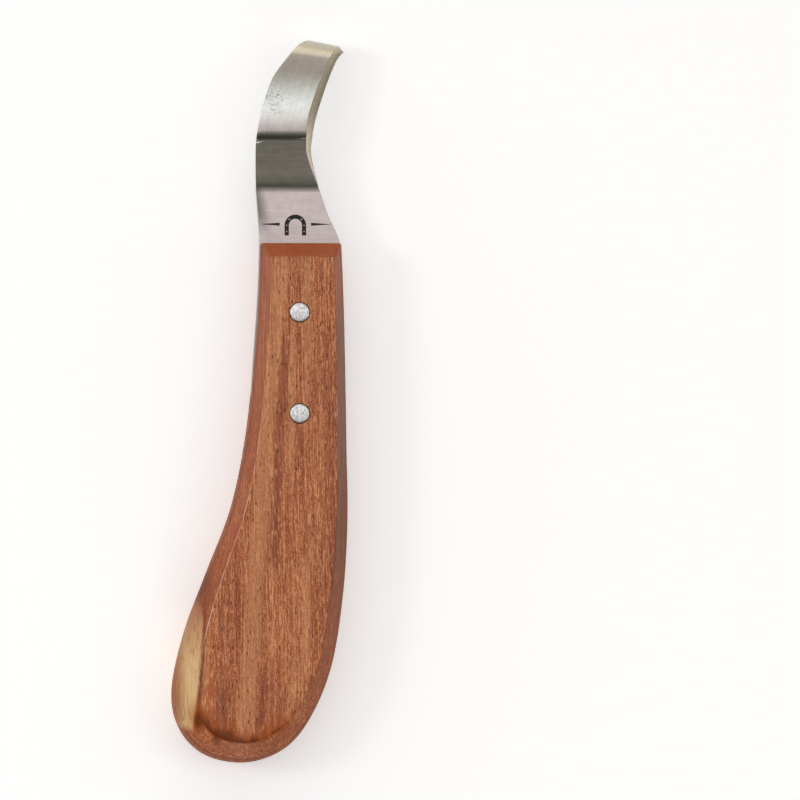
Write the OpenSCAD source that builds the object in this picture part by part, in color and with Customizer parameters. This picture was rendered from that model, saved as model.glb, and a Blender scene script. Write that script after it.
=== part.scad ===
// Farrier's hoof knife: hooked steel blade, one-piece wooden handle, two cutler's rivets.
// +Y runs from the butt to the hook, +Z is the outer side of the blade,
// and the knife lies with the lower broad face of its handle on z = 0.

/* [Handle] */
// Thickness of the handle, face to face
handle_t = 19.5; // [17:0.1:22]
// Y of the front end, where the shank leaves the wood
front_y = 31.6; // [30:0.1:34]
// Length of the slope at the front end
front_slope = 3.7; // [2:0.1:5]
// Height of the sloped edges round each broad face
edge_h = 4; // [2:0.1:6]
// Distance between the two rivets
rivet_pitch = 26.6; // [22:0.1:30]

/* [Blade] */
// Thickness of the tang and shank
blade_t = 2.8; // [2:0.1:3.2]
// Y of the rear end of the tang
tang_end_y = -20.5; // [-24:0.1:-18]
// Outer radius of the rolled hook
hook_r = 5.6; // [5:0.1:6]
// Angle through which the hook is rolled
hook_turn = 155; // [150:1:180]

/* [Rivets] */
// Diameter of each rivet head
head_d = 5.1; // [4.6:0.1:6]
// Thickness of each rivet head
head_t = 1.4; // [1:0.1:2]
// Outer diameter of the tubular half
tube_d = 3.6; // [3.2:0.1:4]
// Diameter of the solid half's pin
pin_d = 2.2; // [1.8:0.1:2.6]

/* [Hidden] */
$fn = 48;

mid_z = handle_t / 2;
fit = 0.03;            // clearance between the tang, the rivets and what they sit in
sunk = 0.05;           // how far the rivet heads lie below the wood
ring_gap = 0.2;        // gap round each rivet head
saw_r = 62;            // radius of the saw that cut the kerf
kerf_end_y = -26.4;    // deepest point of the kerf
over = 1;              // how far the cutting shapes reach past the wood
pin_below = 4;         // how far the solid pin reaches below mid thickness
bore_below = 5;        // how far the tube's bore reaches below mid thickness

// Outline of the handle at mid thickness, from the front left corner round the butt to the
// front right corner: [x, y, width of the slope between the side and the broad face]
OUTLINE = [
    [ -9.8,   front_y, 2.2],
    [-10.5,   14.0, 2.5],
    [-11.9,   -4.0, 2.7],
    [-14.1,  -22.0, 3.1],
    [-17.8,  -38.9, 3.3],
    [-24.0,  -55.0, 3.9],
    [-30.1,  -71.2, 5.3],
    [-33.3,  -86.5, 6.6],
    [-31.2,  -96.7, 6.2],
    [-24.3, -103.6, 6.1],
    [-13.4, -105.6, 5.8],
    [ -3.2, -101.9, 5.8],
    [  3.8,  -93.4, 5.2],
    [  9.3,  -79.6, 4.3],
    [ 12.3,  -60.5, 4.0],
    [ 13.4,  -41.5, 3.7],
    [ 13.1,  -22.0, 3.0],
    [ 12.8,   -4.0, 2.8],
    [ 12.4,   14.0, 2.8],
    [ 11.7,   front_y, 2.6],
];
SPAN_STEPS = 7;        // straight steps between two outline points; odd keeps the ring's count even

// Side of the handle, from mid thickness to the broad face:
// [share of the way up, share of the slope's width, share of the front slope]
wall_top = 1 - edge_h / mid_z;
SIDE = [[0.15, 0.005, 0], [wall_top * 0.6, 0.06, 0], [wall_top, 0.2, 0],
        [(wall_top + 1) / 2, 0.64, 0.5], [1, 1, 1]];

// Side view of the blade, from the end of the tang to the tip: [length, bend in degrees].
// A positive bend turns the blade down, towards its inner side.
BENDS = [
    [front_y - tang_end_y, 0],          // tang
    [13.6, 0],                          // flat shank
    [1.6, -16],                         // shank turns up
    [3, 3],                             // and eases
    [9.4, -1],                          // rise to the start of the edge
    [0.3, -14],                         // sharp crease where the ground part starts
    [2.4, 22],                          // crest
    [3.5, 6],
    [16.2, 18],                         // edge
    [hook_r * hook_turn * PI / 180, hook_turn],
];
shank_s = front_y - tang_end_y;
hook_s = shank_s + 50;                  // where the hook starts
tip_s = hook_s + hook_r * hook_turn * PI / 180;

// The blade along its length: [distance from the end of the tang, left side x, right side x,
// thickness, width of the slanted spine, width of the edge bevel, thickness of the left side]
STATIONS = [
    [0,            -8.0, 9.0, blade_t, 0.2, 0.2, blade_t - 0.2],
    [1.5,         -10.4, 11.0, blade_t, 0.2, 0.2, blade_t - 0.2],
    [5,           -11.8, 12.3, blade_t, 0.2, 0.2, blade_t - 0.2],
    [12,          -12.2, 12.8, blade_t, 0.2, 0.2, blade_t - 0.2],
    [38,          -10.5, 12.4, blade_t, 0.2, 0.2, blade_t - 0.2],
    [shank_s,     -10.0, 11.5, blade_t, 0.2, 0.2, blade_t - 0.2],
    [60,          -10.4,  8.2, blade_t, 0.2, 0.2, blade_t - 0.2],
    [68,          -11.0,  5.5, blade_t, 0.2, 0.2, blade_t - 0.2],
    [76,          -11.2,  3.7, 2.6, 1.3, 0.4, 2.0],
    [80,          -11.1,  4.0, 2.5, 1.9, 2.5, 0.8],
    [84,          -10.6,  4.5, 2.4, 2.2, 4.2, 0.3],
    [88,           -9.6,  5.5, 2.3, 2.4, 4.5, 0.3],
    [96,           -6.7,  8.0, 2.1, 2.2, 4.5, 0.3],
    [hook_s,       -2.3, 10.4, 1.9, 1.8, 4.0, 0.3],
    [hook_s + 7,    3.4, 13.1, 1.7, 1.8, 3.0, 0.3],
    [hook_s + 11,   5.8, 12.2, 1.5, 1.3, 2.2, 0.3],
    [tip_s - 1,     7.2, 10.8, 1.3, 0.8, 1.4, 0.3],
    [tip_s,         8.0, 10.1, 1.3, 0.6, 1.0, 0.3],
];
// Slant of the roll across the blade, in degrees: it grows over the last stretch of the edge
// up to the hook's start, and again over the first stretch of the hook
slant_hook = 5;
slant_tip = 11;
edge_run = 25;
hook_run = 7;
corner = 0.2;          // chamfer of the blade's right corner
RING_S = concat([for (s = [0, 0.4, 0.9, 1.5, 3, 5, 8, 12, 25, 38]) s],
                [for (s = [shank_s:2:shank_s + 22]) s],
                [for (s = [shank_s + 23:1.3:hook_s - 0.5]) s],
                [for (a = [0:8:hook_turn - 1]) hook_s + a * hook_r * PI / 180], [tip_s]);

// ---- curves ----

// Slope of column c of a table at row i, against column 0
function slope(t, i, c) = let (a = max(i - 1, 0), b = min(i + 1, len(t) - 1))
    (t[b][c] - t[a][c]) / (t[b][0] - t[a][0]);

// Row of a table that holds the value s in column 0
function row(t, s, i = 0) = (i >= len(t) - 2 || s < t[i + 1][0]) ? i : row(t, s, i + 1);

// Smooth value of column c of a table at s
function at(t, s, c) =
    let (i = row(t, s), w = t[i + 1][0] - t[i][0], k = (s - t[i][0]) / w)
    t[i][c] * (1 + 2 * k) * pow(1 - k, 2) + w * slope(t, i, c) * k * pow(1 - k, 2)
    + t[i + 1][c] * (3 - 2 * k) * k * k - w * slope(t, i + 1, c) * (1 - k) * k * k;

// Point on the smooth curve through p, k of the way from p[i] to p[i + 1]
function curve(p, i, k) =
    let (n = len(p) - 1, a = p[i], b = p[i + 1],
         ta = i == 0 ? b - a : (b - p[i - 1]) / 2, tb = i == n - 1 ? b - a : (p[i + 2] - a) / 2)
    a * (1 + 2 * k) * pow(1 - k, 2) + ta * k * pow(1 - k, 2)
    + b * (3 - 2 * k) * k * k - tb * (1 - k) * k * k;

function unit(v) = v / norm(v);

// Faces of a solid made of n rings of m points each; each end is closed by strips
// that join opposite points of its ring
function skin_faces(n, m) = concat(
    [for (i = [0:n - 2], j = [0:m - 1]) let (a = i * m, b = a + m, k = (j + 1) % m)
        each [[a + j, a + k, b + k], [a + j, b + k, b + j]]],
    [for (j = [0:m / 2 - 2]) let (k = m - 1 - j, b = (n - 1) * m)
        each [[k, k - 1, j + 1], [k, j + 1, j], [b + j, b + j + 1, b + k - 1], [b + j, b + k - 1, b + k]]]);

// ---- handle ----

EDGE = [for (i = [0:len(OUTLINE) - 2], k = [0:SPAN_STEPS - 1]) curve(OUTLINE, i, k / SPAN_STEPS),
        OUTLINE[len(OUTLINE) - 1]];
LAST = len(EDGE) - 1;

// Inward direction at point i of the outline
function inward(i) = let (d = EDGE[min(i + 1, LAST)] - EDGE[max(i - 1, 0)]) unit([-d[1], d[0]]);

// Point i of the ring at step k of SIDE; the points near the front move back with its slope
function handle_point(i, k) =
    let (p = EDGE[i], near = 1 - min(i, LAST - i) / SPAN_STEPS, back = max(0, near) * k[2] * front_slope)
    near == 1 ? [p[0] + k[1] * p[2] * (i == 0 ? 1 : -1), p[1] - back]
              : [p[0], p[1] - back] + k[1] * p[2] * inward(i);

module handle_blank() {
    levels = concat([for (n = [len(SIDE) - 1:-1:0]) [SIDE[n][0], SIDE[n]]],
                    [for (k = SIDE) [-k[0], k]]);
    points = [for (v = levels, i = [0:LAST])
        let (p = handle_point(i, v[1])) [p[0], p[1], mid_z * (1 + v[0])]];
    polyhedron(points, skin_faces(len(levels), LAST + 1));
}

module kerf() {
    translate([0, kerf_end_y + saw_r, mid_z])
        cylinder(r = saw_r, h = blade_t + 2 * fit, center = true, $fn = 2 * $fn);
}

module handle() {
    color("sienna")
    difference() {
        handle_blank();
        kerf();
        for (s = [-1, 1]) translate([0, s * rivet_pitch / 2, 0]) {
            translate([0, 0, -over]) cylinder(d = tube_d + 2 * fit, h = handle_t + 2 * over);
            translate([0, 0, -over]) cylinder(d = head_d + 2 * ring_gap, h = head_t + sunk + over);
            translate([0, 0, handle_t - head_t - sunk])
                cylinder(d = head_d + 2 * ring_gap, h = head_t + sunk + over);
        }
    }
}

// ---- blade ----

// State [y, z, angle, distance] of the outer face's side view after n bends
function bend_step(p, len, turn) = turn == 0
    ? [p[0] + len * cos(p[2]), p[1] - len * sin(p[2]), p[2], p[3] + len]
    : let (r = len * 180 / PI / turn, a = p[2] + turn)
      [p[0] + r * (sin(a) - sin(p[2])), p[1] + r * (cos(a) - cos(p[2])), a, p[3] + len];
function side_view(s, n = 0, p = [tang_end_y, mid_z + blade_t / 2, 0, 0]) =
    let (b = BENDS[n], left = s - p[3])
    (left <= b[0] || n == len(BENDS) - 1) ? bend_step(p, left, b[1] * left / b[0])
        : side_view(s, n + 1, bend_step(p, b[0], b[1]));

function slant(s) = s < hook_s
    ? slant_hook * pow(max(0, (s - hook_s + edge_run) / edge_run), 2)
    : slant_hook + (slant_tip - slant_hook) * min(1, (s - hook_s) / hook_run);

function blade_ring(s) =
    let (v = side_view(s), a = slant(s), left = at(STATIONS, s, 1), right = at(STATIONS, s, 2),
         t = at(STATIONS, s, 3), spine = at(STATIONS, s, 4), bevel = at(STATIONS, s, 5),
         edge = at(STATIONS, s, 6), mid = (left + right) / 2, half = (right - left) / 2,
         across = [cos(a), -sin(a), 0],
         out = [sin(a) * sin(v[2]), cos(a) * sin(v[2]), cos(v[2])])
    [for (q = [[-half, 0], [-half, -edge], [bevel - half, -t], [half - corner, -t],
               [half, corner - t], [half - spine, 0]])
        [mid, v[0], v[1]] + q[0] * across + q[1] * out];

module blade() {
    color("silver")
    difference() {
        polyhedron([for (s = RING_S) each blade_ring(s)], skin_faces(len(RING_S), 6));
        for (s = [-1, 1]) translate([0, s * rivet_pitch / 2, 0])
            cylinder(d = tube_d + 2 * fit, h = handle_t);
    }
}

// ---- rivets ----

module rivet_male(y) {
    color("gainsboro") translate([0, y, 0]) {
        translate([0, 0, handle_t - sunk - head_t]) cylinder(d = head_d, h = head_t);
        translate([0, 0, mid_z - pin_below])
            cylinder(d = pin_d, h = mid_z + pin_below - sunk - head_t / 2);
    }
}

module rivet_female(y) {
    color("lightgray") translate([0, y, 0]) difference() {
        union() {
            translate([0, 0, sunk]) cylinder(d = head_d, h = head_t);
            translate([0, 0, sunk]) cylinder(d = tube_d, h = handle_t - 2 * sunk - head_t - fit);
        }
        translate([0, 0, mid_z - bore_below]) cylinder(d = pin_d + 2 * fit, h = handle_t);
    }
}

blade();
handle();
rivet_male(rivet_pitch / 2);  // front_rivet_male
rivet_female(rivet_pitch / 2);  // front_rivet_female
rivet_male(-rivet_pitch / 2);  // rear_rivet_male
rivet_female(-rivet_pitch / 2);  // rear_rivet_female
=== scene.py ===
# %% [markdown]
# # A farrier's hoof knife
# A hoof knife pares a horse's hoof. Its curved steel blade ends in a small rolled hook, and the flat
# tang behind it sits in a saw cut in a one-piece hardwood handle, held by two cutler's rivets.
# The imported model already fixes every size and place. This lesson loads it as the frame, then builds
# the parts that show again with finer edges and real finishes, in the same place and size.

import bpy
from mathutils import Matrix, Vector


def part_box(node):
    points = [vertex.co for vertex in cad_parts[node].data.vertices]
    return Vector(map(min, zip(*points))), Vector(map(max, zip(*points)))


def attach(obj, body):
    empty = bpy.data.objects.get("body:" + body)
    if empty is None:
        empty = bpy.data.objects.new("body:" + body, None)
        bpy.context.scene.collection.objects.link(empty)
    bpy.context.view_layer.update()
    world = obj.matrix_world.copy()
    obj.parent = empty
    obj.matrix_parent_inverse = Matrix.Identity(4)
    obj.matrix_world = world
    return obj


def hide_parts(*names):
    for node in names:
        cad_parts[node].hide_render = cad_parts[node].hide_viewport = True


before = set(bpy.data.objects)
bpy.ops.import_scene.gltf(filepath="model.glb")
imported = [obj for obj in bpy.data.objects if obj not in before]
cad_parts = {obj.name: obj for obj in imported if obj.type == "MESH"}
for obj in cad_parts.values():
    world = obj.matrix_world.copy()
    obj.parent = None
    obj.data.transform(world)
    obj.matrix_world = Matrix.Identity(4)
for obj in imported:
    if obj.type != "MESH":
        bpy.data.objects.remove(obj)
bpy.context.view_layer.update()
print("nodes:", sorted(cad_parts))

# %% [markdown]
# Lengths below are in millimetres, because that is how a cutler thinks. Each piece is scaled to
# metres once, when its mesh is handed over. What the wood and the steel share comes first.

# %% Shared measures
from math import cos, degrees, pi, radians, sin

import bmesh
import bpy
from mathutils import Matrix, Vector

MM = 0.001
wood_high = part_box("handle")[1] / MM
THICKNESS = wood_high.z
MID = THICKNESS / 2
FRONT = wood_high.y
# name and y of each rivet
RIVETS = [("front", 13.3), ("rear", -13.3)]
TANG_THICKNESS = 2.8
print(f"handle {THICKNESS:.1f} mm thick, front end at y {FRONT:.1f} mm")

# %% [markdown]
# ## Camera
# A long lens from 1.5 m away shows the knife almost without perspective. The camera stands a little
# to the left of straight overhead, so the left side of the handle just shows.

# %% Camera
AIM = Vector((27.4, -9.75, MID))
DISTANCE = 1500
LEAN = radians(5.4)
VIEW_WIDTH = 212
SENSOR = 36

across_view = Vector((cos(LEAN), 0, sin(LEAN)))
up_view = Vector((0, 1, 0))
back_view = Vector((-sin(LEAN), 0, cos(LEAN)))
camera = bpy.data.objects.new("camera", bpy.data.cameras.new("camera"))
camera.data.sensor_width = SENSOR
camera.data.lens = SENSOR * DISTANCE / VIEW_WIDTH
camera.data.clip_end = 10
turn = Matrix((across_view, up_view, back_view)).transposed().to_4x4()
camera.matrix_world = Matrix.Translation((AIM + DISTANCE * back_view) * MM) @ turn
bpy.context.scene.collection.objects.link(camera)
bpy.context.scene.camera = camera
print(f"lens {camera.data.lens:.0f} mm, {degrees(LEAN):.1f} degrees from overhead")

# %% [markdown]
# ## Shader maths
# A node tree is arithmetic on sockets. `Wire` holds one output socket and turns Python's operators
# into Math nodes, so `1 - mask * 0.5` reads as what it is. `Tree` adds every other node through one
# method: the node's kind, its settings, then the values or wires of its sockets.

# %% Wire and Tree
class Wire:
    """One output socket, on which arithmetic adds Math nodes."""

    def __init__(self, tree, socket):
        self.tree = tree
        self.socket = socket

    def __add__(self, other):
        return self.tree.math("ADD", self, other)

    def __sub__(self, other):
        return self.tree.math("SUBTRACT", self, other)

    def __rsub__(self, other):
        return self.tree.math("SUBTRACT", other, self)

    def __mul__(self, other):
        return self.tree.math("MULTIPLY", self, other)

    def __truediv__(self, other):
        return self.tree.math("DIVIDE", self, other)

    def __pow__(self, other):
        return self.tree.math("POWER", self, other)

    __radd__ = __add__
    __rmul__ = __mul__


class Tree:
    """The nodes of a material or of the world."""

    def __init__(self, owner):
        owner.use_nodes = True
        self.nodes = owner.node_tree.nodes
        self.links = owner.node_tree.links

    def set(self, node, sockets):
        for key, value in sockets.items():
            if isinstance(value, Wire):
                self.links.new(value.socket, node.inputs[key])
            else:
                node.inputs[key].default_value = value

    def node(self, kind, settings=None, sockets=None, out=0):
        """Any node: its kind, its settings, then the values or wires of its sockets."""
        made = self.nodes.new("ShaderNode" + kind)
        for key, value in (settings or {}).items():
            if key == "stops":
                elements = made.color_ramp.elements
                elements.remove(elements[1])
                elements[0].position = value[0][0]
                elements[0].color = value[0][1]
                for place, shade in value[1:]:
                    elements.new(place).color = shade
            else:
                setattr(made, key, value)
        self.set(made, sockets or {})
        return Wire(self, made.outputs[out])

    def math(self, operation, *values):
        return self.node("Math", {"operation": operation}, dict(enumerate(values)))

    def vector(self, operation, *values):
        return self.node("VectorMath", {"operation": operation}, dict(enumerate(values)))

    def distance(self, a, b):
        return self.node("VectorMath", {"operation": "DISTANCE"}, {0: a, 1: b}, out=1)

    def split(self, vector):
        first = self.node("SeparateXYZ", {}, {0: vector})
        return [Wire(self, socket) for socket in first.socket.node.outputs]

    def join(self, x, y, z=0.0):
        return self.node("CombineXYZ", {}, {0: x, 1: y, 2: z})

    def step(self, value, low, high):
        """0 below low, 1 above high, and smooth between; high below low turns it round."""
        return self.node("MapRange", {"interpolation_type": "SMOOTHSTEP"}, {0: value, 1: low, 2: high})

    def scale(self, shade, factor):
        """A colour made brighter or darker by a factor."""
        return self.node("VectorMath", {"operation": "SCALE"}, {0: shade, 3: factor})

    def mix(self, share, a, b):
        """Colour a, turning into colour b as share goes from 0 to 1."""
        return self.node("Mix", {"data_type": "RGBA"}, {0: share, 6: a, 7: b}, out=2)

    def noise(self, place, scale, detail=2.0, rough=0.5, bend=0.0):
        """Noise on a place vector that is stretched by scale, a number for each direction."""
        stretched = self.vector("MULTIPLY", place, scale)
        sockets = {"Vector": stretched, "Scale": 1.0, "Detail": detail, "Roughness": rough}
        return self.node("TexNoise", {}, sockets | {"Distortion": bend})


def colour(red, green, blue):
    """A display colour from 0 to 255 as the linear colour that a socket takes."""
    parts = [c / 255 for c in (red, green, blue)]
    return (*[c / 12.92 if c < 0.04045 else ((c + 0.055) / 1.055) ** 2.4 for c in parts], 1)


print("a mid grey of 128 is", round(colour(128, 128, 128)[0], 3), "in linear light")

# %% [markdown]
# A finish is a tree that ends in a Principled surface. It reads Object coordinates, which stay the
# same whatever a piece's own size is, and turns them into millimetres once. A speck that is given
# as 0.3 mm is then 0.3 mm on the wood and on the steel.

# %% Material tree
class Finish(Tree):
    """A material, with its place on the object in millimetres."""

    def __init__(self, name):
        self.material = bpy.data.materials.new(name)
        super().__init__(self.material)
        self.surface = self.nodes["Principled BSDF"]
        place = self.node("TexCoord", {}, {}, out=3)
        self.place = self.vector("MULTIPLY", place, (1 / MM,) * 3)
        self.x, self.y, self.z = self.split(self.place)

    def attribute(self, name):
        return self.node("Attribute", {"attribute_name": name}, {}, out=2)

    def bump(self, height, strength, distance):
        """A Bump node: distance is the depth in metres that a height of 1 stands for."""
        sockets = {"Height": height, "Strength": strength, "Distance": distance}
        self.set(self.surface, {"Normal": self.node("Bump", {}, sockets)})


# %% [markdown]
# ## Light
# Polished steel shows what is round it, so the room is part of the finish. The room here is a plain
# studio: bright straight above, darker towards the butt end and dim towards the hook end. It is a
# ramp over the angle from straight up, measured about the knife's width, which is the line that the
# blade bends about. The camera itself sees only a plain pale backdrop.

# %% Room
# angle from straight up, in degrees towards the hook, and the shade seen there
ROOM = [(-90, (196, 188, 170)), (-72, (188, 180, 162)), (-62, (110, 104, 92)), (-52, (20, 18, 15)),
        (-41, (44, 41, 36)), (-33, (66, 64, 58)), (-28, (84, 84, 76)), (-23.5, (100, 99, 91)),
        (-18, (134, 128, 125)), (-12, (167, 159, 159)), (-8, (181, 172, 175)),
        (-4, (199, 192, 195)), (0, (216, 212, 213)), (4, (230, 228, 231)), (8, (250, 255, 255)),
        (12, (232, 238, 240)), (15.5, (219, 225, 226)), (19, (197, 201, 199)),
        (22.5, (182, 183, 178)), (26, (158, 155, 146)), (30, (144, 135, 126)),
        (34, (148, 140, 129)), (38, (166, 161, 150)), (46, (195, 188, 178)), (56, (228, 221, 210)),
        (75, (240, 233, 219)), (90, (213, 207, 193))]
ROOM_GAIN = 1.75

world = bpy.data.worlds.new("studio")
bpy.context.scene.world = world
room = Tree(world)
direction_x, direction_y, direction_z = room.split(room.node("TexCoord", {}, {}, out=0))
lean = room.math("ARCTAN2", direction_y, direction_z) / (2 * pi) + 0.5
stops = [((angle + 180) / 360, colour(*shade)) for angle, shade in ROOM]
walls = room.node("ValToRGB", {"stops": stops}, {0: lean})
side = 1 - room.step(direction_x, -0.1, -0.9) * 0.40 - room.step(direction_x, -0.05, 0.9) * 0.70
lit = room.scale(walls, side * ROOM_GAIN)
seen = room.node("LightPath", {}, {}, out=0)
shown = room.mix(seen, lit, colour(246, 246, 245))
room.set(room.nodes["Background"], {0: shown})
print(len(ROOM), "shades round the room")

# %% [markdown]
# Three square lamps add what a ramp can't: a soft shadow beside the handle and a gleam along its
# edges. Area lamps are used because their size, and so the softness of the shadow, is one number.
# The view transform is set to Standard, so that a colour comes out as it was mixed.

# %% Lamps
def softbox(name, place, size, power):
    """A square lamp at a place in millimetres, facing the middle of the knife."""
    lamp = bpy.data.objects.new(name, bpy.data.lights.new(name, "AREA"))
    lamp.data.shape = "SQUARE"
    lamp.data.size = size * MM
    lamp.data.energy = power
    away = Vector(place) - Vector((0, -10, MID))
    turned = away.to_track_quat("Z", "Y").to_matrix().to_4x4()
    lamp.matrix_world = Matrix.Translation(Vector(place) * MM) @ turned
    bpy.context.scene.collection.objects.link(lamp)


softbox("left_lamp", (-900, 150, 800), 220, 1.7)
softbox("right_lamp", (800, -100, 900), 600, 1)
softbox("butt_lamp", (0, -1300, 420), 300, 1.6)
bpy.context.scene.view_settings.view_transform = "Standard"
print(len(bpy.data.lights), "lamps")

# %% [markdown]
# The knife lies on a sheet of pale paper, which takes its shadow and lights it from below. A plane
# that glows a little stays near white at every distance, so its far edge doesn't show. The sheet is
# a hair below the handle, so the two faces never fight for the same place.

# %% Floor
FLOOR_WIDTH = 8000
FLOOR_GAP = 0.05
PAPER_GLOW = 0.34

sheet = bmesh.new()
bmesh.ops.create_grid(sheet, x_segments=1, y_segments=1, size=FLOOR_WIDTH / 2 * MM)
bmesh.ops.translate(sheet, vec=(0, 0, -FLOOR_GAP * MM), verts=sheet.verts)
floor_mesh = bpy.data.meshes.new("floor")
sheet.to_mesh(floor_mesh)
sheet.free()
floor = bpy.data.objects.new("floor", floor_mesh)
bpy.context.scene.collection.objects.link(floor)
paper = Finish("pale_paper")
paper.set(paper.surface, {"Base Color": colour(250, 251, 253), "Roughness": 0.8,
                          "Emission Color": colour(250, 252, 255), "Emission Strength": PAPER_GLOW})
floor_mesh.materials.append(paper.material)
print("floor", FLOOR_WIDTH / 1000, "m wide")

# %% [markdown]
# ## Curves
# Both the wood and the steel follow smooth curves through a few chosen points. A Blender curve could
# draw them, but the same cubic is wanted for widths and thicknesses too, so it is written once, for
# numbers and for vectors. `soften` rounds the corners of a broken line, as a file rounds an edge.

# %% Curve helpers
def between(a, b, slope_a, slope_b, k):
    """The cubic that goes from a to b as k goes from 0 to 1, with these slopes at its ends."""
    start = a * (1 + 2 * k) * (1 - k) ** 2 + slope_a * k * (1 - k) ** 2
    return start + b * (3 - 2 * k) * k ** 2 - slope_b * (1 - k) * k ** 2


def through(points, steps):
    """The smooth line through points, with a number of steps from each to the next."""
    last = len(points) - 1
    slopes = [(points[min(i + 1, last)] - points[max(i - 1, 0)]) / (2 if 0 < i < last else 1)
              for i in range(last + 1)]
    line = [between(points[i], points[i + 1], slopes[i], slopes[i + 1], k / steps)
            for i in range(last) for k in range(steps)]
    return line + [points[last]]


def soften(points, reach, steps):
    """The broken line with each inner corner rounded, starting reach of the way along its sides."""
    line = [points[0]]
    for before, corner, after in zip(points, points[1:], points[2:]):
        a = corner + (before - corner) * reach
        b = corner + (after - corner) * reach
        for step in range(steps + 1):
            k = step / steps
            line.append(a * (1 - k) ** 2 + corner * 2 * k * (1 - k) + b * k ** 2)
    return line + [points[-1]]


print("half way from 0 to 1:", between(0.0, 1.0, 0.0, 0.0, 0.5))

# %% [markdown]
# ## The handle
# The handle is sawn from one board, so its two broad faces are flat and parallel, and a spindle
# moulder then takes a slope off every edge. A grid of faces is wrapped round the outline like a
# label round a tin: its columns follow the outline and its rows climb the side, over the slope and
# onto the broad face. That keeps every crease an even line of edges, with its own small radius.

# %% Outline of the handle
# x, y and the width of the slope, from the front left corner round the butt to the front right
OUTLINE = [(-9.8, FRONT, 2.2), (-10.5, 14.0, 2.5), (-11.9, -4.0, 2.7), (-14.1, -22.0, 3.1),
           (-17.8, -38.9, 3.3), (-24.0, -55.0, 3.9), (-30.1, -71.2, 5.3), (-33.3, -86.5, 6.6),
           (-31.2, -96.7, 6.2), (-24.3, -103.6, 6.1), (-13.4, -105.6, 5.8), (-3.2, -101.9, 5.8),
           (3.8, -93.4, 5.2), (9.3, -79.6, 4.3), (12.3, -60.5, 4.0), (13.4, -41.5, 3.7),
           (13.1, -22.0, 3.0), (12.8, -4.0, 2.8), (12.4, 14.0, 2.8), (11.7, FRONT, 2.6)]
SPAN = 10

edge_line = through([Vector(point) for point in OUTLINE], SPAN)
last = len(edge_line) - 1
columns = last + SPAN
print(columns, "columns round the handle")

# %% [markdown]
# Seen from its end, the side of the handle is an upright wall with a slope above and below it. It
# is drawn once, from the middle up, and mirrored. The spindle leaves crisp creases, and years in
# the hand wear those at the butt round, so there is a crisp version and a worn one to blend.

# %% Side of the handle
SLOPE_HEIGHT = 4
CRISP_REACH = 0.06
WORN_REACH = 0.3
wall_top = 1 - SLOPE_HEIGHT / MID
# share of the way up, share of the slope's width, share of the front slope
SIDE = [Vector(level) for level in ((0, 0, 0), (wall_top * 0.5, 0.04, 0), (wall_top, 0.2, 0),
                                    (1, 1, 1), (1, 1.25, 1.25))]


def levels(reach):
    """Rows from the upper face down to the lower one, with creases rounded over reach."""
    half = soften(SIDE, reach, 5)
    lower = [Vector((-level.x, level.y, level.z)) for level in half[1:]]
    return half[::-1] + lower


crisp = levels(CRISP_REACH)
worn = levels(WORN_REACH)
rows = len(crisp) - 1
print(rows, "rows from face to face")

# %% [markdown]
# A place on the skin is an outline point moved inwards by what the row asks. At the front end every
# column leans back for the end slope, and the last columns run straight across that end. The skin
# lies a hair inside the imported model, so the rounded wood never stands out of it.

# %% Place on the skin
FRONT_SLOPE = 3.7
HAIR = 0.05
WEAR_START = -88
WEAR_LENGTH = 12


def wood_point(column, row):
    """A point of the handle's skin, in millimetres."""
    i = min(column, last)
    x, y, slope = edge_line[i]
    ahead = edge_line[min(i + 1, last)] - edge_line[max(i - 1, 0)]
    inward = Vector((-ahead.y, ahead.x)).normalized()
    wear = between(0.0, 1.0, 0.0, 0.0, min(1, max(0, (WEAR_START - y) / WEAR_LENGTH)))
    up, inset, back = crisp[row].lerp(worn[row], wear)
    near = max(0, 1 - min(i, last - i) / SPAN)
    if near == 1:
        inward = Vector((1 if i == 0 else -1, 0))
    point = Vector((x, y - near * back * FRONT_SLOPE)) + (inset * slope + HAIR) * inward
    if column > last:
        other = Vector(wood_point(0, row))
        point = point.lerp(other.xy, (column - last) / SPAN)
    return (point.x, point.y, MID * (1 + up))


print("middle of the butt at", [round(c, 1) for c in wood_point(last // 2, rows // 2)])

# %% [markdown]
# The grid starts flat. Each of its vertices knows its column and row from where it lies, so moving
# them wraps the label round the tin; merging doubles closes the seam and filling holes adds the two
# broad faces. Three attributes remember which rows are wall, slope and crease, for the finish.

# %% Wrap the wood
CORNER_ROUNDING = 0.5

bm = bmesh.new()
bmesh.ops.create_grid(bm, x_segments=columns, y_segments=rows, size=0.5)
on_slope = bm.verts.layers.float.new("slope")
on_crease = bm.verts.layers.float.new("crease")
on_wall = bm.verts.layers.float.new("wall")
corner_verts = set()
# a row's y is its way over the slope: up to 0.2 on the wall, and 1 at the broad face
for vert in bm.verts:
    column = round((vert.co.x + 0.5) * columns) % columns
    row = round((0.5 - vert.co.y) * rows)
    vert.co = wood_point(column, row)
    vert[on_slope] = float(0.15 < crisp[row].y < 0.99)
    vert[on_crease] = float(0.965 < crisp[row].y < 1.014)
    vert[on_wall] = float(crisp[row].y < 0.21)
    if column in (0, last):
        corner_verts.add(vert)
bmesh.ops.remove_doubles(bm, verts=bm.verts, dist=0.001)
corner_verts = {vert for vert in corner_verts if vert.is_valid}
bmesh.ops.holes_fill(bm, edges=[edge for edge in bm.edges if edge.is_boundary])
corners = [edge for edge in bm.edges if set(edge.verts) <= corner_verts]
bmesh.ops.bevel(bm, geom=corners, affect="EDGES", offset=CORNER_ROUNDING, offset_type="OFFSET",
                segments=3, profile=0.5, material=-1)
bmesh.ops.recalc_face_normals(bm, faces=bm.faces)
print(len(bm.faces), "faces,", len(corners), "corner edges rounded")

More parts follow.
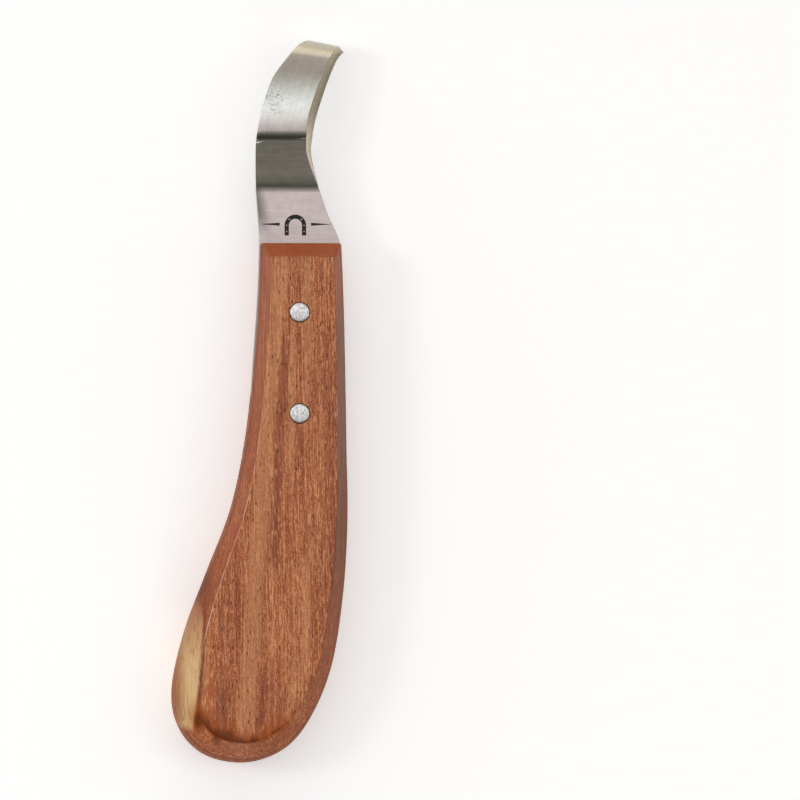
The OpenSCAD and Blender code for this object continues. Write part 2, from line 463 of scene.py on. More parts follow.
# %% [markdown]
# The saw cut and the rivet holes are taken out of the wrapped skin with Boolean modifiers, just as
# they are cut on the bench after the blank is shaped. Each cutter is a plain cylinder: a circular
# saw for the kerf, a drill for the hole and a counterbore for the seat of each rivet head.

# %% Cutting tools
def cylinder(name, radius, low, high, centre, segments=96):
    """A cutter that stands upright from low to high round a centre, in millimetres."""
    bm = bmesh.new()
    bmesh.ops.create_cone(bm, cap_ends=True, segments=segments, radius1=radius, radius2=radius,
                          depth=high - low)
    bmesh.ops.translate(bm, vec=(*centre, (low + high) / 2), verts=bm.verts)
    bmesh.ops.scale(bm, vec=(MM, MM, MM), verts=bm.verts)
    return as_object(name, bm)


def as_object(name, bm):
    """An object in the scene from a bmesh, which is freed."""
    mesh = bpy.data.meshes.new(name)
    bm.to_mesh(mesh)
    bm.free()
    made = bpy.data.objects.new(name, mesh)
    bpy.context.scene.collection.objects.link(made)
    return made


def cut(piece, cutters):
    """Take the cutters out of a piece, then throw them away."""
    for cutter in cutters:
        boolean = piece.modifiers.new(cutter.name, "BOOLEAN")
        boolean.operation = "DIFFERENCE"
        boolean.solver = "EXACT"
        boolean.object = cutter
    view = bpy.context.evaluated_depsgraph_get()
    mesh = bpy.data.meshes.new_from_object(piece.evaluated_get(view))
    piece.modifiers.clear()
    piece.data = mesh
    for cutter in cutters:
        bpy.data.objects.remove(cutter)


def smooth(piece, angle):
    """Shade a piece smooth, but keep edges sharper than an angle in degrees."""
    piece.data.shade_smooth()
    piece.data.set_sharp_from_angle(angle=radians(angle))


def fit(piece, finish, slot, *nodes):
    """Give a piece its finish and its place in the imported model."""
    piece.data.materials.clear()
    piece.data.materials.append(finish.material)
    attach(piece, "root")
    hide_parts(*nodes)
    size = [round(c / MM, 1) for c in piece.dimensions]
    print(piece.name, size, "mm,", len(piece.data.polygons), "faces")


print("tools ready")

# %% Cut the handle
# clearance round the tang and the rivets, and depth of the heads below the wood
FIT = 0.03
SUNK = 0.05
SAW_RADIUS = 62
SAW_SEGMENTS = 240
KERF_END = -26.4
HEAD_RADIUS = 2.55
HEAD_THICKNESS = 1.4
HEAD_GAP = 0.2
TUBE_RADIUS = 1.8
# how far a cutter stands out of the wood
OVER = 1

bmesh.ops.scale(bm, vec=(MM, MM, MM), verts=bm.verts)
handle = as_object("wood_handle", bm)
half_kerf = TANG_THICKNESS / 2 + FIT
saw_centre = (0, KERF_END + SAW_RADIUS)
cutters = [cylinder("kerf", SAW_RADIUS, MID - half_kerf, MID + half_kerf, saw_centre, SAW_SEGMENTS)]
sink = HEAD_THICKNESS + SUNK
seat = HEAD_RADIUS + HEAD_GAP
for name, y in RIVETS:
    cutters.append(cylinder(name + "_bore", TUBE_RADIUS + FIT, -OVER, THICKNESS + OVER, (0, y)))
    cutters.append(cylinder(name + "_lower_seat", seat, -OVER, sink, (0, y)))
    cutters.append(cylinder(name + "_upper_seat", seat, THICKNESS - sink, THICKNESS + OVER, (0, y)))
cut(handle, cutters)
smooth(handle, 40)
print("handle cut:", len(handle.data.polygons), "faces")

# %% [markdown]
# ## The wood
# The handle is a red-brown tropical hardwood with an oiled, half worn finish. Its figure runs along
# the board, so every noise is stretched along y: broad bands, streaks, lines and threads are the
# same noise at ever finer widths. `sway` bends them all together, as growth bends grain, and short
# flecks and specks roughen them where the saw crossed the fibres.

# %% Grain
wood = Finish("oiled_rosewood")
sway = (wood.noise(wood.place, (0.04, 0.010, 0.04), 2.0) - 0.5) * 4.0
board = wood.join(wood.x + sway + wood.y * 0.012, wood.y, wood.z)
bands = wood.noise(board, (0.26, 0.007, 0.26), 2.0, 0.5) - 0.5
streaks = wood.noise(board, (0.9, 0.012, 0.9), 2.0, 0.6) - 0.5
lines = wood.noise(board, (2.4, 0.035, 2.4), 2.0, 0.6) - 0.5
flecks = wood.noise(wood.place, (3.3, 0.8, 3.3), 2.0, 0.7) - 0.5
specks = wood.noise(wood.place, (4.2, 3.4, 4.2), 2.0, 0.7) - 0.5
threads = wood.noise(board, (3.9, 0.11, 3.9), 2.0, 0.7) - 0.5
figure = bands * 0.22 + streaks * 0.32 + lines * 0.50 + threads * 0.75
mottle = flecks * 0.70 + specks * 0.90
print("grain runs along y")

# %% [markdown]
# All of that adds up to one number, and a ramp turns it into timber: plum in the dark lines, orange
# brown between them and a pale salmon on top. Four stops are enough, because the noises already
# hold the detail. The mottle is weaker on the slopes, which the spindle left smoother.

# %% Ground colour
slopes, wall, crease = (wood.attribute(name) for name in ("slope", "wall", "crease"))
face = (1 - slopes) * (1 - wall)
tone = figure + mottle * (1 - slopes * 0.6) + 0.5
stops = [(0.20, colour(118, 54, 30)), (0.41, colour(160, 85, 50)),
         (0.53, colour(185, 107, 69)), (0.70, colour(230, 156, 106))]
timber = wood.node("ValToRGB", {"stops": stops}, {0: tone})
print(len(stops), "shades of timber")

# %% [markdown]
# A few broad streaks are what the eye knows this handle by, and noise would put them anywhere. So
# each is listed, as a strip that follows a parabola through three points and fades at both
# ends. Its edges take the sway and the fine lines of the grain, which ties it to the rest.

# %% Broad streaks
GOLD = colour(224, 160, 112)
PLUM = colour(132, 62, 44)
RED = colour(194, 98, 52)
# x at the front, the middle and the butt (y 28, -36 and -100), half the width,
# where the streak starts and ends along y, its shade and its share
STREAKS = [
    (-5.0, -10.2, -14.4, 3.0, 30, -104, GOLD, 0.42),
    (-2.2, -6.2, -9.5, 1.5, 12, -56, PLUM, 0.50),
    (2.0, 1.8, 1.6, 1.3, 33, -14, GOLD, 0.40),
    (2.0, 1.6, 1.8, 1.5, -48, -84, GOLD, 0.34),
    (-1.8, -2.6, -4.4, 1.1, 12, -34, GOLD, 0.40),
    (3.2, 3.2, -4.2, 1.5, -78, -100, GOLD, 0.36),
    (6.5, 8.6, 8.6, 4.0, 4, -92, PLUM, 0.24),
    (-6.4, -6.8, -11.0, 0.9, -78, -101, PLUM, 0.45),
    (-6.4, -6.8, -7.3, 0.8, -74, -100, PLUM, 0.45),
    (-23.6, -23.6, -23.6, 1.5, -76, -100, RED, 0.55),
    (-20.4, -20.4, -20.4, 2.2, -80, -100, PLUM, 0.50),
    (-20.2, -20.2, -20.2, 0.9, -58, -78, PLUM, 0.45),
]
STREAK_SPAN = 128
STREAK_MIDDLE = -36
# length over which a streak fades at its ends
FADE = 8

along_y = wood.y - STREAK_MIDDLE
for x_front, x_middle, x_butt, half_width, start, end, shade, share in STREAKS:
    lean_part = (x_front - x_butt) / STREAK_SPAN
    curve_part = (x_front + x_butt - 2 * x_middle) / (STREAK_SPAN ** 2 / 2)
    centre = along_y * lean_part + along_y * along_y * curve_part + x_middle
    off = wood.math("ABSOLUTE", wood.x + sway * 0.3 + lines * 1.6 - centre)
    strip = wood.step(off, half_width, half_width * 0.4) * wood.step(wood.y, start, start - FADE)
    strip = strip * wood.step(wood.y, end, end + FADE) * face * share
    timber = wood.mix(strip * (mottle * 1.2 + 1.0), timber, shade)
print(len(STREAKS), "broad streaks")

# %% [markdown]
# Fibres that come up at a slant catch the light as short bright dashes. They are a finer noise cut
# off high, so that only its peaks show, and they stay on the flat faces.

# %% Glints
glint = wood.noise(board, (3.0, 0.42, 3.0), 1.0) + bands * 0.3
timber = wood.mix(wood.step(glint, 0.58, 0.72) * face * 0.55, timber, colour(238, 182, 126))
print("glints set")

# %% [markdown]
# Pores are the cut ends of the tree's vessels: short dark dashes, thick in some patches and few in
# others. A Voronoi texture stretched along the grain gives one dot per cell, which suits them
# better than noise, and a slow noise says where they are thick.

# %% Pores
cells = wood.vector("MULTIPLY", board, (0.95, 0.26, 0.95))
pore_sockets = {"Vector": cells, "Scale": 1.0, "Randomness": 1.0}
pore_distance = wood.node("TexVoronoi", {"feature": "F1"}, pore_sockets)
pore_patch = wood.noise(wood.place, (0.12, 0.05, 0.12), 2.0)
pore = wood.step(pore_distance, 0.20, 0.10) * wood.step(pore_patch, 0.34, 0.56)
timber = wood.mix(pore * 0.8, timber, colour(52, 22, 14))
print("pores set")

# %% [markdown]
# On the left of the butt the board still has a patch of cream sapwood, with a dark line where it
# meets the red heartwood. Its edge is drawn by steps on x and y, shaken by one slow noise called
# `warp`, so that it wanders like a real growth ring and not like a painted line.

# %% Sapwood
warp = (wood.noise(wood.place, (0.35, 0.08, 0.35), 3.0) - 0.5) * 3.0
sap_edge = wood.math("MINIMUM", wood.y + 72.0, 0.0) * 0.09 - 25.4
sap = wood.step(wood.x + warp * 0.3, sap_edge + 0.1, sap_edge - 0.5)
sap_top = wood.y + wood.math("ABSOLUTE", wood.x + 27.6) * 1.7 + warp * 0.5
sap = sap * wood.step(wood.y + warp, -97.0, -94.5) * wood.step(sap_top, -59.5, -62.5)
sap_lines = wood.noise(wood.place, (2.7, 0.06, 2.7), 3.0, 0.7)
cream = wood.step(wood.y + warp * 3.0, -60.0, -84.0) * wood.step(wood.x, -33.0, -28.8)
sap_colour = wood.mix(cream, colour(168, 108, 74), colour(238, 200, 148))
sap_colour = wood.mix(wood.step(sap_lines, 0.50, 0.68) * 0.6, sap_colour, colour(124, 76, 46))
timber = wood.mix(sap * 0.92, timber, sap_colour)
heart_line = wood.step(wood.math("ABSOLUTE", wood.x + warp * 0.3 - sap_edge - 0.5), 0.7, 0.1)
heart_line = heart_line * wood.step(wood.y, -96.0, -92.0) * wood.step(wood.y, -60.0, -66.0)
timber = wood.mix(heart_line * 0.6, timber, colour(84, 36, 22))
print("sapwood on the left of the butt")

# %% [markdown]
# Three small knots are dark ovals, one of them in an amber halo, so four ovals are listed, each
# measured by its distance from one place. The butt has soaked up oil and dirt from the palm of the
# hand: the stain is a ring round the middle of the butt, with tongues that creep up the grain.

# %% Knots
KNOT_STRETCH = 0.55
# place, radius, share and shade
KNOTS = [((-25.2, -58.5), 4.2, 0.65, colour(88, 46, 32)), ((-27.2, -92.6), 3.6, 0.6, colour(178, 92, 22)),
         ((-26.7, -93.8), 2.0, 0.8, colour(84, 34, 10)), ((-21.8, -98.2), 1.8, 0.7, colour(84, 38, 18))]

squeezed = wood.join(wood.x, wood.y * KNOT_STRETCH)
for (x, y), radius, share, shade in KNOTS:
    away = wood.distance(squeezed, (x, y * KNOT_STRETCH, 0)) + warp * radius * 0.2
    timber = wood.mix(wood.step(away, radius, radius * 0.2) * share, timber, shade)
print(len(KNOTS), "knots")

# %% Butt stain
ring = wood.distance(wood.join(wood.x, wood.y), (-13.0, -84.0, 0))
tongues = (wood.noise(wood.place, (1.3, 0.08, 1.3), 2.0) - 0.5) * 11.0
low = wood.step(wood.y + warp, -88.5, -93.5) * face * wood.step(wood.x, -28.0, -25.0)
timber = wood.mix(wood.step(ring + tongues, 10.5, 14.5) * low * 0.75, timber, colour(170, 80, 12))
timber = wood.mix(wood.step(ring + warp * 2.4, 13.4, 15.8) * low * 0.75, timber, colour(88, 36, 6))
print("butt stained")

# %% [markdown]
# Oil sits deeper in the cut fibres of the slopes than on the flat faces, so the slopes are redder.
# The right slope is darkened with painted shade, and so are the low walls. The left crease has a
# painted highlight, a pale line along most of its length, and the right one a dark line of painted
# shade. All of these are tints over the same timber, kept to their places by the attributes of the mesh.

# %% Oiled slopes and painted shade
front = wood.step(wood.y, FRONT - FRONT_SLOPE - 0.2, FRONT - FRONT_SLOPE + 0.5)
timber = wood.mix(front * 0.7, timber, colour(158, 76, 22))
oiled = slopes * (1 - sap) * (wood.step(wood.y, -92.0, -76.0) * 0.35 + 0.15)
timber = wood.mix(oiled, timber, colour(146, 66, 26))
# painted shade: the right slope is darkened to a grey brown
right_slope_shade_along = wood.step(wood.y, -76.0, -40.0) * wood.step(wood.y, 26.0, 4.0)
right_slope_shade = slopes * (wood.step(wood.x, 5.0, 9.0) * right_slope_shade_along)
timber = wood.mix(right_slope_shade * 0.55, timber, colour(108, 76, 54))
# painted shade: the low walls are darkened, less so on the sapwood
timber = wood.mix(wall * (1 - sap * 0.8) * 0.42, timber, colour(96, 52, 34))
print("slopes and walls tinted")

# %% Painted crease highlight and shade
# painted highlight: a pale line along the left crease, broken by a slow noise
crease_highlight_breaks = wood.step(wood.noise(wood.place, (0.1, 0.22, 0.1), 3.0), 0.36, 0.56)
crease_highlight = crease * crease_highlight_breaks * wood.step(wood.y, -82.0, -66.0) * wood.step(wood.y, -8.0, -20.0)
timber = wood.mix(crease_highlight * wood.step(wood.x, -2.0, -6.0) * 0.75, timber, colour(236, 190, 168))
# painted shade: a dark line along the right crease
crease_shade_line = crease * wood.step(wood.x, 4.0, 7.0) * wood.step(wood.y, -84.0, -70.0)
timber = wood.mix(crease_shade_line * 0.5, timber, colour(104, 36, 18))
print("crease highlight and shade painted")

# %% [markdown]
# The finish itself is thin oil, not varnish: the wood is half matt, and the sawn walls are more
# matt still. A low specular level keeps the pale floor from whitening the steep slopes. The same
# mottle that colours the wood raises it by a twentieth of a millimetre, and pores sink.

# %% Wood finish
wood.set(wood.surface, {"Base Color": timber, "Roughness": 0.36 + mottle * 0.12 + wall * 0.4,
                        "Specular IOR Level": 0.25})
wood.bump(mottle - pore * 1.5, 0.3, 0.00005)
fit(handle, wood, "handle_wood", "handle")

# %% [markdown]
# ## The blade
# The blade is one strip of steel, 2.8 mm thick at the tang. The smith turns it up where it leaves
# the handle, grinds the curved part thinner, and rolls its end into the hook. A second grid is
# wrapped round its section and carried along its side view, so the ground crease, the edge and the
# slanted spine stay lines of edges all the way.
#
# Seen from the side, the blade's outer face is a chain of straight runs and arcs: flat through the
# handle and a little past it, a step up, then the long curve and the hook. Walking along that chain
# gives the height and lean of the steel at any distance from the end of the tang.

# %% Side view of the blade
TANG_END = -20.5
HOOK_RADIUS = 5.6
HOOK_TURN = 155
HOOK_LENGTH = HOOK_RADIUS * radians(HOOK_TURN)
# length and bend in degrees of each stretch; a positive bend turns the blade down
BENDS = [(FRONT - TANG_END, 0), (13.6, 0), (1.6, -16), (3, 3), (9.4, -1), (0.3, -14), (2.4, 22),
         (3.5, 6), (16.2, 18), (HOOK_LENGTH, HOOK_TURN)]
SHANK = FRONT - TANG_END
CREASE = SHANK + 27.75
HOOK = SHANK + 50
TIP = HOOK + HOOK_LENGTH


def side_view(s):
    """Y, z and lean of the blade's outer face at a distance s from the end of the tang."""
    y, z, lean, gone = TANG_END, MID + TANG_THICKNESS / 2, 0.0, 0.0
    for length, bend in BENDS:
        part = min(length, s - gone) if (length, bend) != BENDS[-1] else s - gone
        change = radians(bend) * part / length
        if bend == 0:
            y, z = y + part * cos(lean), z - part * sin(lean)
        else:
            radius = part / change if change else 0
            y += radius * (sin(lean + change) - sin(lean))
            z += radius * (cos(lean + change) - cos(lean))
        lean += change
        gone += part
        if gone >= s - 1e-9:
            break
    return y, z, lean


print("hook starts at", [round(value, 2) for value in side_view(HOOK)])

# %% [markdown]
# Width, thickness and the ground faces change along the blade. A smith would check them with a
# gauge at a few places, and these stations are such places; the curve helper fills in between.

# %% Stations of the blade
# width of the broken corner at the back of the spine
BREAK = 0.2
PLAIN = (TANG_THICKNESS, BREAK, BREAK, TANG_THICKNESS - BREAK)
# distance, left x, right x, thickness, slanted spine, edge bevel, thickness of the left side
STATIONS = [(0, -8.0, 9.0, *PLAIN), (1.5, -10.4, 11.0, *PLAIN), (5, -11.8, 12.3, *PLAIN),
            (12, -12.2, 12.8, *PLAIN), (38, -10.5, 12.4, *PLAIN), (SHANK, -10.0, 11.5, *PLAIN),
            (60, -10.4, 8.2, *PLAIN), (68, -11.0, 5.5, *PLAIN),
            (76, -11.2, 3.7, 2.6, 1.3, 0.4, 2.0), (80, -11.1, 4.0, 2.5, 1.9, 2.5, 0.8),
            (84, -10.6, 4.5, 2.4, 2.2, 4.2, 0.3), (88, -9.6, 5.5, 2.3, 2.4, 4.5, 0.3),
            (96, -6.7, 8.0, 2.1, 2.2, 4.5, 0.3), (HOOK, -2.3, 10.4, 1.9, 1.8, 4.0, 0.3),
            (HOOK + 7, 3.4, 13.1, 1.7, 1.8, 3.0, 0.3), (HOOK + 11, 5.8, 12.2, 1.5, 1.3, 2.2, 0.3),
            (TIP - 1, 7.2, 10.8, 1.3, 0.8, 1.4, 0.3), (TIP, 8.0, 10.1, 1.3, 0.6, 1.0, 0.3)]


def station(s):
    """The blade's measures at a distance s, smooth between the stations."""
    i = max(n for n in range(len(STATIONS) - 1) if STATIONS[n][0] <= s or n == 0)

    def slope(n, c):
        a, b = STATIONS[max(n - 1, 0)], STATIONS[min(n + 1, len(STATIONS) - 1)]
        return (b[c] - a[c]) / (b[0] - a[0])

    a, b = STATIONS[i], STATIONS[i + 1]
    gap = b[0] - a[0]
    return [between(a[c], b[c], gap * slope(i, c), gap * slope(i + 1, c), (s - a[0]) / gap)
            for c in range(1, len(a))]


print("measures at the hook:", [round(value, 2) for value in station(HOOK)])

# %% [markdown]
# Across the blade the section has six corners: the slanted spine on the right, the outer face, the
# edge on the left, its bevel underneath, the inner face and a broken corner. Each is rounded by a
# tenth of a millimetre or so, which is what catches the light along a real ground edge.

# %% Section of the blade
FACE_STEPS = 22
SIDE_STEPS = 5
BACK_STEPS = 12
CORNER_STEPS = 4
CORNER = 0.14


def rounding(before, corner, after):
    """How far from a corner its rounding starts."""
    return min(CORNER, 0.3 * (before - corner).length, 0.3 * (after - corner).length)


def section(s):
    """Points round the section, each with 1 on the outer face and its way up the slanted spine."""
    left, right, thick, spine, bevel, edge = station(s)
    half = (right - left) / 2
    corners = [Vector(c) for c in ((half - spine, 0), (-half, 0), (-half, -edge),
                                   (bevel - half, -thick), (half - BREAK, -thick),
                                   (half, BREAK - thick))]
    steps = [FACE_STEPS, SIDE_STEPS, SIDE_STEPS, BACK_STEPS, 1, SIDE_STEPS]
    points = []
    for i, corner in enumerate(corners):
        before, after = corners[i - 1], corners[(i + 1) % 6]
        reach = rounding(before, corner, after)
        a = corner + (before - corner).normalized() * reach
        b = corner + (after - corner).normalized() * reach
        for step in range(CORNER_STEPS + 1):
            k = step / CORNER_STEPS
            place = a * (1 - k) ** 2 + corner * 2 * k * (1 - k) + b * k ** 2
            points.append((place, float(i == 0 and k > 0.5), float(i == 0 and k <= 0.5)))
        end_reach = rounding(corner, after, corners[(i + 2) % 6])
        end = after + (corner - after).normalized() * end_reach
        for step in range(1, steps[i]):
            share = step / steps[i]
            points.append((b.lerp(end, share), float(i == 0), share * (i == 5)))
    return (left + right) / 2, half, points


around = len(section(50)[2])
print(around, "points round the section")

# %% [markdown]
# The section is repeated at rings along the blade. Rings stand close together where the steel bends
# or where the grinding starts, and far apart where it is flat, so the faces go where they are
# needed. Towards the hook the rings turn, because the hook is rolled at a slant across the blade.

# %% Rings along the blade
SLANT = 5
SLANT_LENGTH = 25
HOOK_SLANT = 6
HOOK_SLANT_LENGTH = 7
# start, end and gap
STRETCHES = [(0, 1.5, 0.3), (1.5, 12, 1.5), (12, SHANK, 3), (SHANK, SHANK + 13, 0.75),
             (SHANK + 13, SHANK + 19, 0.15), (SHANK + 19, CREASE - 1.5, 0.4),
             (CREASE - 1.5, CREASE + 4, 0.1), (CREASE + 4, HOOK, 0.3), (HOOK, TIP, 0.15)]


def slant(s):
    """Slant of the roll across the blade, in degrees."""
    if s < HOOK:
        return SLANT * max(0, (s - HOOK + SLANT_LENGTH) / SLANT_LENGTH) ** 2
    return SLANT + HOOK_SLANT * min(1, (s - HOOK) / HOOK_SLANT_LENGTH)


def stretch(start, end, gap):
    """Distances from start up to end, about gap apart."""
    count = round((end - start) / gap)
    return [start + (end - start) * n / count for n in range(count)]


rings = [s for start, end, gap in STRETCHES for s in stretch(start, end, gap)] + [TIP]
print(len(rings), "rings along the blade")

# %% [markdown]
# The crease where the grinding starts isn't straight: it runs on towards the hook at the spine, and
# back towards the handle at the edge. So the rings near it are pushed along the blade, each by an
# amount that changes across it.

# %% Place on the steel
SPINE_RUN = 0.6
EDGE_RUN = 1.1
# share of the half width, from the edge, on which the crease runs back
EDGE_SHARE = 0.28
# distance from the crease over which the rings even out
CREASE_BLEND = 4.5


def crease_shift(across, half):
    """How far the ground crease lies from its middle place, towards the tip."""
    share = across / half
    spine_part = SPINE_RUN * share ** 2 * (share > 0)
    return spine_part - EDGE_RUN * max(0, EDGE_SHARE - 1 - share) / EDGE_SHARE


def steel_point(s, point, middle, half):
    """A point of the blade's skin, in millimetres."""
    near = max(0, 1 - abs(s - CREASE) / CREASE_BLEND)
    shift = crease_shift(point.x, half) * near
    y, z, lean = side_view(s - shift)
    y += shift * cos(lean)
    z -= shift * sin(lean)
    tilt = radians(slant(s))
    across = Vector((cos(tilt), -sin(tilt), 0))
    out = Vector((sin(tilt) * sin(lean), cos(tilt) * sin(lean), cos(lean)))
    return Vector((middle, y, z)) + point.x * across + point.y * out


print("crease runs", round(crease_shift(1, 1), 2), "mm on at the spine")

# %% [markdown]
# The second grid is wrapped like the first, with columns round the section and rows along the
# blade, then closed at both ends. Four attributes keep, for every vertex, how far along and across
# it lies and whether it is on the outer face or up the spine. The finish follows them, so brushing
# bends with the steel, which Object coordinates alone couldn't do.

# %% Wrap the steel
bm = bmesh.new()
bmesh.ops.create_grid(bm, x_segments=around, y_segments=len(rings) - 1, size=0.5)
marks = {name: bm.verts.layers.float.new(name) for name in ("along", "across", "outer", "spine")}
sections = [section(s) for s in rings]
for vert in bm.verts:
    column = round((vert.co.x + 0.5) * around) % around
    ring = round((vert.co.y + 0.5) * (len(rings) - 1))
    middle, half, points = sections[ring]
    point, outer, spine = points[column]
    vert.co = steel_point(rings[ring], point, middle, half)
    vert[marks["along"]] = rings[ring]
    vert[marks["across"]] = point.x
    vert[marks["outer"]] = outer
    vert[marks["spine"]] = spine
bmesh.ops.remove_doubles(bm, verts=bm.verts, dist=0.001)
bmesh.ops.holes_fill(bm, edges=[edge for edge in bm.edges if edge.is_boundary])
bmesh.ops.recalc_face_normals(bm, faces=bm.faces)
bmesh.ops.scale(bm, vec=(MM, MM, MM), verts=bm.verts)
blade = as_object("steel_blade", bm)
holes = [cylinder(name + "_tang_hole", TUBE_RADIUS + FIT, 0, THICKNESS, (0, y)) for name, y in RIVETS]
cut(blade, holes)
smooth(blade, 35)
print("blade cut:", len(blade.data.polygons), "faces")

# %% [markdown]
# ## The steel finish
# The shank is belt-ground across, and the curved part is ground along its edge, so two stretched
# noises swap over at the crease. Both read the attributes along and across the strip. A real
# scratch pattern is far finer than a face, so it stays in colour, roughness and a very low bump.

# %% Brushed steel
steel = Finish("ground_steel")
along, across, outer, spine = (steel.attribute(name) for name in ("along", "across", "outer", "spine"))
surface_place = steel.join(across, along)
crosswise = steel.noise(surface_place, (0.10, 2.6, 1.0), 4.0, 0.65)
lengthwise = steel.noise(surface_place, (2.8, 0.10, 1.0), 4.0, 0.65)
blotches = steel.noise(surface_place, (0.35, 0.35, 1.0), 3.0, 0.6)
ground = steel.step(along, CREASE - 0.1, CREASE + 0.1)
brushing = crosswise * (1 - ground) + lengthwise * ground
print("brushed across the shank and along the edge")

# %% [markdown]
# Bare steel is never one grey. The shank is warmer, and its left side is darker. Painted shade
# darkens the bend and the notch at the left of the crease, and the edges of the tang are darker too.
# Each is one mask that multiplies a shared `shade`, apart from the metal's own colour.

# %% Steel tones
shank = steel.step(along, SHANK + 15.7, SHANK + 13.7)
# the left side of the shank is darker
left_side_darker = steel.step(across, -5.5, -9.0) * steel.step(along, SHANK + 1, SHANK + 9) * shank
# a little darker next to the handle
darker_by_handle = steel.step(along, SHANK + 8, SHANK + 1) * 0.05
shade = 1 + (brushing - 0.5) * (0.48 - ground * 0.12) + (blotches - 0.5) * 0.34
tang_edge = steel.step(along, SHANK + 1, SHANK - 1) * (1 - outer)
off_crease = steel.math("ABSOLUTE", along - CREASE + 0.8)
# painted shade in the notch at the left of the crease
notch = steel.step(across, -8.6, -10.4) * steel.step(off_crease, 2.4, 1.0)
# painted shade across the bend where the blade steps up
bend_shade = steel.step(along, SHANK + 13.2, SHANK + 14.2) * steel.step(along, SHANK + 16.4, SHANK + 15.4)
shade = shade * (1 - left_side_darker * 0.62 - darker_by_handle) * (1 - tang_edge * 0.5)
shade = shade * (1 - bend_shade * 0.2) * (1 - notch * 0.7)
base = steel.mix(shank, colour(200, 197, 192), colour(179, 168, 164))
base = steel.mix(steel.step(along, HOOK - 1, HOOK + 3) * 0.8, base, colour(188, 180, 158))
print("tones set")

# %% [markdown]
# A patch of rust pits sits near the edge, half way along the curve, and a few lie further on. The
# slanted spine was never polished: it keeps the beige, scaly skin of the forge, burnt dark on the
# hook, and painted shade darkens it towards its outer edge. Pits come from a noise with some
# distortion, cut off high so that only its peaks stay.

# %% Pits and spine
pit_zone = steel.distance(steel.join(steel.x, steel.y), (-6.6, 69.6, 0))
pit_noise = steel.noise(steel.place, (1.5, 1.9, 1.5), 4.0, 0.75, 1.5)
pits = steel.step(pit_noise, 0.57, 0.63) * steel.step(pit_zone, 6.5, 1.5)
pits = pits + steel.step(pit_noise, 0.68, 0.74) * steel.step(along, CREASE + 3, CREASE + 6) * 0.4
scale_noise = steel.noise(steel.place, (1.6, 1.6, 1.6), 4.0, 0.7)
on_spine = steel.step(spine, 0.0, 0.1) * (1 - outer)
burnt = steel.step(along, HOOK - 1, HOOK + 3) * steel.step(scale_noise, 0.44, 0.60)
# painted shade: the spine darkens towards its outer edge; its scale noise and burnt hook are the steel's
# own
spine_scale_and_shade = steel.step(spine, 0.0, 0.9) * 0.36 + 0.70 + (scale_noise - 0.5) * 0.6 - burnt * 0.40
shade = shade * (1 - pits * 0.75)
scaly = steel.scale(colour(205, 192, 170)[:3], spine_scale_and_shade)
tone = steel.mix(on_spine, steel.scale(base, shade), scaly)
print("pits, spine and burnt end set")

# %% [markdown]
# Makers etch a mark on the shank. This one is nobody's: a plain horseshoe with its nail holes,
# between two tapered bars. It is drawn from distances alone: a shoe is the strip round half a
# circle whose ends go on straight, and a bar is a strip that narrows outwards.

# %% Mark
MARK = Vector((-0.5, 36.4))
SHOE_RADIUS = 2.3
SHOE_HALF_WIDTH = 0.55
SHOE_END = -2.6
NAILS_PER_MM = 0.62
NAIL_RADIUS = 0.09
BAR_START = 4.1
BAR_END = 9.6
BAR_HEIGHT = 0.3
BAR_TAPER = 0.07
SOFT = 0.05

mark_x = steel.x - MARK.x
mark_y = steel.y - MARK.y
reach = steel.math("SQRT", mark_x * mark_x + steel.math("MAXIMUM", mark_y, 0.0) ** 2.0)
off_shoe = steel.math("ABSOLUTE", reach - SHOE_RADIUS)
shoe = steel.step(off_shoe, SHOE_HALF_WIDTH + SOFT, SHOE_HALF_WIDTH - SOFT)
shoe = shoe * steel.step(mark_y, SHOE_END - 3 * SOFT, SHOE_END)
nails = steel.math("ABSOLUTE", steel.math("FRACT", mark_y * NAILS_PER_MM + 0.5) - 0.5)
nail_row = steel.step(nails, 0.12, 0.06) * steel.step(off_shoe, NAIL_RADIUS + 0.08, NAIL_RADIUS)
print("horseshoe", 2 * (SHOE_RADIUS + SHOE_HALF_WIDTH), "mm wide")

# %% Bars of the mark
aside = steel.math("ABSOLUTE", mark_x)
bar_width = (BAR_END - aside) * BAR_TAPER
bar = steel.step(steel.math("ABSOLUTE", mark_y - BAR_HEIGHT) - bar_width, SOFT, -SOFT)
bar = bar * steel.step(aside, BAR_START, BAR_START + 2 * SOFT)
bar = bar * steel.step(aside, BAR_END, BAR_END - 4 * SOFT)
etched = (shoe * (1 - nail_row) + bar) * outer
tone = steel.mix(etched, tone, colour(22, 20, 20))
print("mark centred at", tuple(MARK), "mm")

# %% [markdown]
# Steel is a metal all over, but for the etched mark, which is dull and dark. The bump is only a
# fiftieth of a millimetre: brushing on the ground faces, scale on the spine, and pits that sink.

# %% Steel finish
rough = brushing * 0.10 + 0.15 + on_spine * 0.22 + pits * 0.2 + etched * 0.3
steel.set(steel.surface, {"Base Color": tone, "Metallic": 1 - etched * 0.7, "Roughness": rough})
steel.bump(brushing * (1 - on_spine) + scale_noise * on_spine * 2.0 - pits * 2.0 - etched, 0.25, 0.00002)
fit(blade, steel, "blade_steel", "blade")

# %% [markdown]
# ## The rivets
# A cutler's rivet comes in two halves: a solid pin with a head goes into a tube with a head, and a
# blow jams them together. Both are turned parts, so both are spun from half a profile, as a lathe
# would make them. Only the heads show, sunk just below the wood, with a small rounded rim.

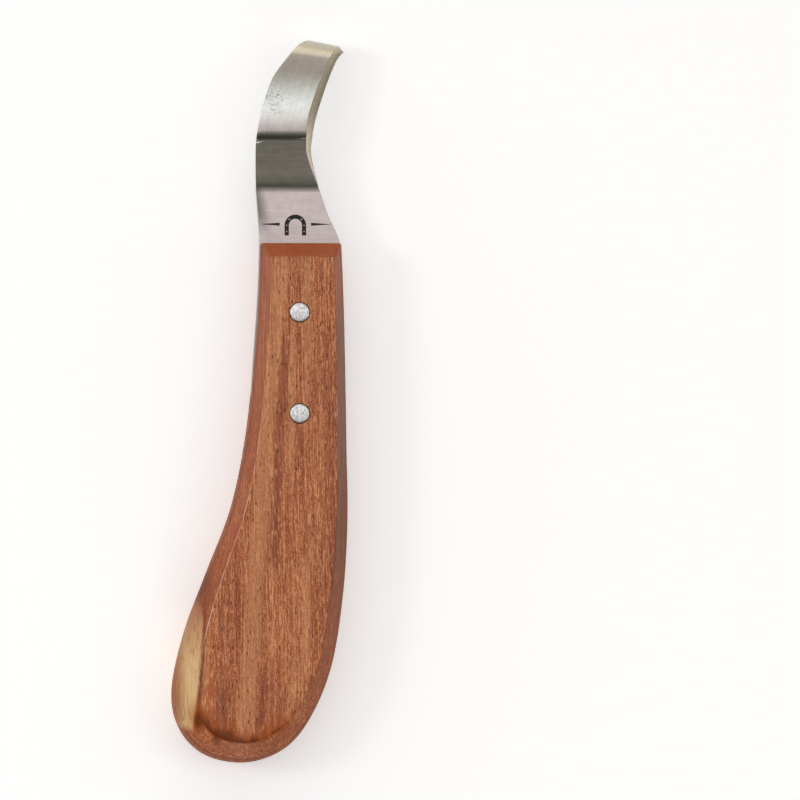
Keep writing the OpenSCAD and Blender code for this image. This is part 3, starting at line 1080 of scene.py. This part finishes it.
# %% Lathe
def lathe(profile):
    """A bmesh spun from (radius, height) points round the z axis."""
    bm = bmesh.new()
    verts = [bm.verts.new((radius, 0, z)) for radius, z in profile]
    edges = [bm.edges.new(pair) for pair in zip(verts, verts[1:])]
    bmesh.ops.spin(bm, geom=verts + edges, axis=(0, 0, 1), cent=(0, 0, 0), angle=2 * pi,
                   steps=64, use_merge=True)
    bmesh.ops.remove_doubles(bm, verts=bm.verts, dist=0.001)
    bmesh.ops.recalc_face_normals(bm, faces=bm.faces)
    return bm


print("lathe ready")

# %% [markdown]
# Each half is one line of points, from the middle of its inner end out to the rim of its head and
# back to the middle of its face. The pin reaches 4 mm past the middle of the handle and the tube
# is 1 mm deeper, so the pin doesn't touch the bottom.

# %% Rivet profiles
PIN_RADIUS = 1.1
ROUNDING = 0.16
PIN_DEPTH = 4
TUBE_DEPTH = 5


def head(face, inward, crown):
    """The rounded rim and the face of a head, at a height; inward is -1 when it faces up."""
    rim = [(HEAD_RADIUS, ROUNDING * 1.3), (HEAD_RADIUS - 0.05, ROUNDING * 0.6),
           (HEAD_RADIUS - ROUNDING, 0.05), (HEAD_RADIUS - 0.6, crown), (0, 0)]
    return [(radius, face + inward * depth) for radius, depth in rim]


head_top = THICKNESS - SUNK
under_head = head_top - HEAD_THICKNESS
tube_bottom = SUNK + HEAD_THICKNESS
male = [(0, MID - PIN_DEPTH), (PIN_RADIUS, MID - PIN_DEPTH), (PIN_RADIUS, under_head),
        (HEAD_RADIUS, under_head)] + head(head_top, -1, 0.005)
female = [(0, MID - TUBE_DEPTH), (PIN_RADIUS + FIT, MID - TUBE_DEPTH),
          (PIN_RADIUS + FIT, under_head - FIT), (TUBE_RADIUS, under_head - FIT),
          (TUBE_RADIUS, tube_bottom), (HEAD_RADIUS, tube_bottom)] + head(SUNK, 1, 0.01)
print("heads", 2 * HEAD_RADIUS, "mm across")

# %% [markdown]
# The rivets are a white alloy, dulled in use. A single noise drives both colour and roughness,
# which is enough for something five millimetres wide.

# %% Rivet alloy
alloy = Finish("rivet_alloy")
turning = alloy.step(alloy.noise(alloy.place, (4.5, 1.8, 4.5), 3.0, 0.7), 0.3, 0.7)
sheen = alloy.mix(turning, colour(238, 238, 235), colour(170, 170, 168))
alloy.set(alloy.surface, {"Base Color": sheen, "Metallic": 1.0, "Roughness": turning * 0.15 + 0.25})
print("alloy mixed")

# %% Place the rivets
for name, y in RIVETS:
    for half_name, profile in (("male", male), ("female", female)):
        bm = lathe(profile)
        bmesh.ops.translate(bm, vec=(0, y, 0), verts=bm.verts)
        bmesh.ops.scale(bm, vec=(MM, MM, MM), verts=bm.verts)
        rivet = as_object(f"{name}_rivet_{half_name}_turned", bm)
        smooth(rivet, 35)
        fit(rivet, alloy, "rivet_metal", f"{name}_rivet_{half_name}")
